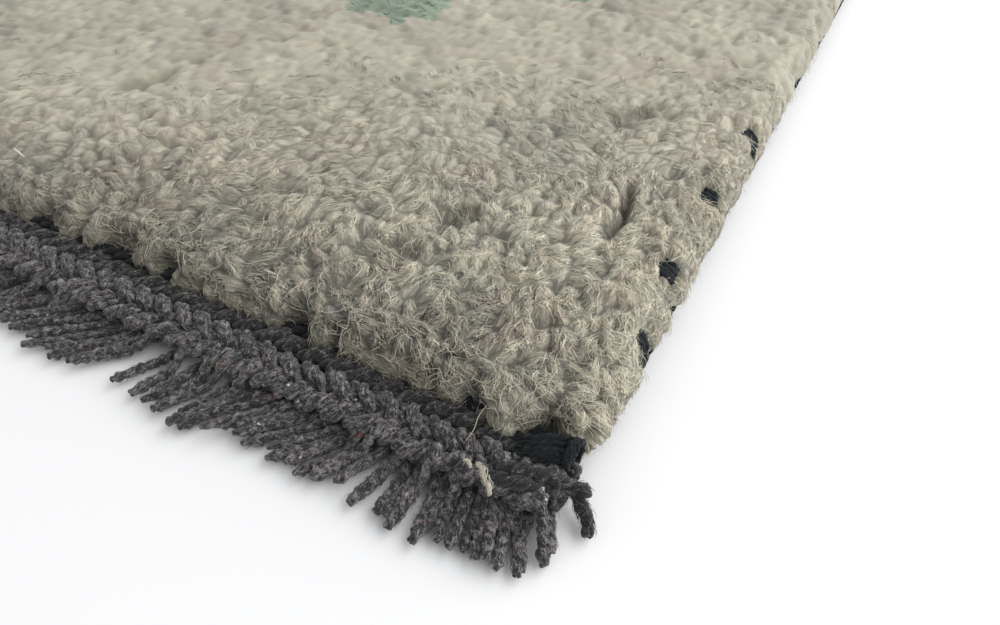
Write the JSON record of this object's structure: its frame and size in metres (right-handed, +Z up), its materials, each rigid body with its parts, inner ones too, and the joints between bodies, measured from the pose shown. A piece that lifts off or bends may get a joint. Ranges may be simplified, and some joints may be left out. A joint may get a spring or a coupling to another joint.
{
  "type": "nepalese rug",
  "caption": "Small flat hand-knotted wool rug with thick greige pile, green flowers, dark selvedges, charcoal end plaits and a short cut fringe.",
  "frame": {"origin": "on the floor under the middle of the rug", "axes": "+X across the rug to its right-hand selvedge, +Y along the warps to the back end, +Z up from the floor"},
  "size_m": [0.6, 0.9568, 0.0185],
  "materials": {
    "pile_wool": "soft cut wool pile, undyed greige melange",
    "green_wool": "soft cut wool pile, sage green",
    "ground_wool": "woven wool ground, matt",
    "selvedge_yarn": "dark teal and charcoal wool yarn, matt",
    "plait_wool": "fuzzy charcoal wool yarn, matt",
    "fringe_wool": "cut twisted charcoal melange yarn, matt"
  },
  "bodies": {
    "root": {"rug_body": "pile_wool", "selvedge_right": "selvedge_yarn", "selvedge_left": "selvedge_yarn", "end_plait_front": "plait_wool", "end_plait_back": "plait_wool", "fringe_front": "fringe_wool", "fringe_back": "fringe_wool"}
  },
  "joints": []
}
